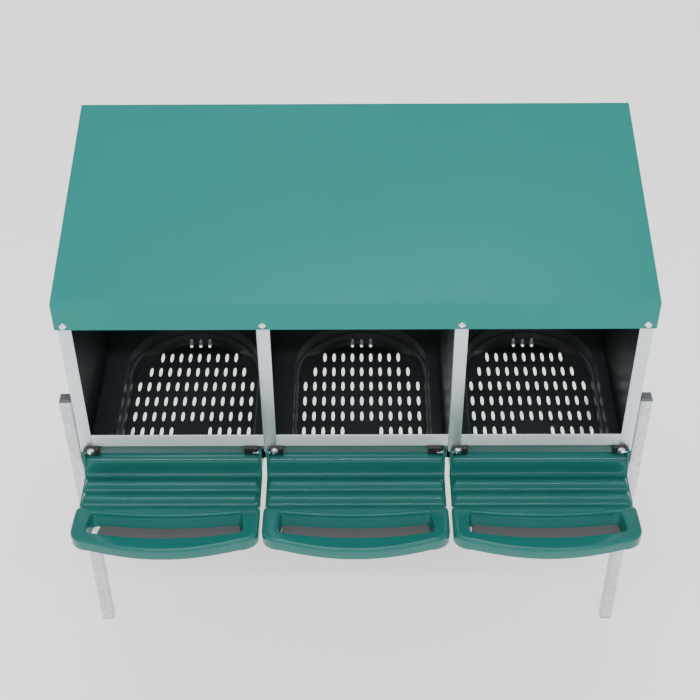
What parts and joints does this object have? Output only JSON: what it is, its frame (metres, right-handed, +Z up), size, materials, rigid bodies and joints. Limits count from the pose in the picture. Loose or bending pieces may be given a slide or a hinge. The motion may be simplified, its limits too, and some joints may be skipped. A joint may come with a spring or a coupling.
{
  "type": "nesting box",
  "caption": "Three-compartment galvanised nesting box for hens on square legs, with a sloping green roof, black perforated lift-out nest pans and green flip-up perches.",
  "frame": {"origin": "on the ground under the middle of the whole object's bounding box", "axes": "+X to the right seen from the front, +Y from the perches towards the back panel, +Z up"},
  "size_m": [0.947, 0.6112, 0.851],
  "materials": {
    "galvanised_sheet": "satin zinc-coated sheet",
    "green_roof_paint": "satin blue-green coating",
    "green_plastic": "satin moulded plastic",
    "black_plastic": "fine-grained matte",
    "block_plastic": "matte",
    "grey_tread": "matte",
    "leg_steel": "satin zinc-coated tube",
    "plug_plastic": "satin",
    "zinc_fasteners": "bright zinc"
  },
  "bodies": {
    "nest_box": {"back_panel": "galvanised_sheet", "back_rivets": "zinc_fasteners", "front_left_foot_plug": "plug_plastic", "front_left_leg": "leg_steel", "front_left_leg_cap": "plug_plastic", "front_rail": "galvanised_sheet", "front_right_foot_plug": "plug_plastic", "front_right_leg": "leg_steel", "front_right_leg_cap": "plug_plastic", "front_roof_screws": "zinc_fasteners", "hinge_pins": "zinc_fasteners", "left_divider": "galvanised_sheet", "left_perch_left_hinge_block": "block_plastic", "left_perch_right_hinge_block": "block_plastic", "left_side_panel": "galvanised_sheet", "leg_bolts": "zinc_fasteners", "leg_nuts": "zinc_fasteners", "middle_perch_left_hinge_block": "block_plastic", "middle_perch_right_hinge_block": "block_plastic", "rail_bolts": "zinc_fasteners", "rail_nuts": "zinc_fasteners", "rear_left_foot_plug": "plug_plastic", "rear_left_leg": "leg_steel", "rear_left_leg_cap": "plug_plastic", "rear_rail": "galvanised_sheet", "rear_right_foot_plug": "plug_plastic", "rear_right_leg": "leg_steel", "rear_right_leg_cap": "plug_plastic", "rear_roof_screws": "zinc_fasteners", "right_divider": "galvanised_sheet", "right_perch_left_hinge_block": "block_plastic", "right_perch_right_hinge_block": "block_plastic", "right_side_panel": "galvanised_sheet", "roof_cover": "green_roof_paint"},
    "left_perch_flap": {"left_perch": "green_plastic", "left_tread_strip": "grey_tread"},
    "left_pan": {"left_nest_pan": "black_plastic"},
    "middle_perch_flap": {"middle_perch": "green_plastic", "middle_tread_strip": "grey_tread"},
    "middle_pan": {"middle_nest_pan": "black_plastic"},
    "right_perch_flap": {"right_perch": "green_plastic", "right_tread_strip": "grey_tread"},
    "right_pan": {"right_nest_pan": "black_plastic"}
  },
  "joints": [
    {"name": "left_perch_hinge", "type": "hinge", "parent": "nest_box", "child": "left_perch_flap", "pos_m": [-0.3, -0.11297, 0.45], "axis": [-1, 0, 0], "range_deg": [0, 97]},
    {"name": "middle_perch_hinge", "type": "hinge", "parent": "nest_box", "child": "middle_perch_flap", "pos_m": [0, -0.11297, 0.45], "axis": [-1, 0, 0], "range_deg": [0, 97]},
    {"name": "right_perch_hinge", "type": "hinge", "parent": "nest_box", "child": "right_perch_flap", "pos_m": [0.3, -0.11297, 0.45], "axis": [-1, 0, 0], "range_deg": [0, 97]},
    {"name": "left_pan_lift", "type": "slide", "parent": "nest_box", "child": "left_pan", "axis": [0, 0, 1], "range_m": [0, 0.08]},
    {"name": "middle_pan_lift", "type": "slide", "parent": "nest_box", "child": "middle_pan", "axis": [0, 0, 1], "range_m": [0, 0.08]},
    {"name": "right_pan_lift", "type": "slide", "parent": "nest_box", "child": "right_pan", "axis": [0, 0, 1], "range_m": [0, 0.08]}
  ]
}
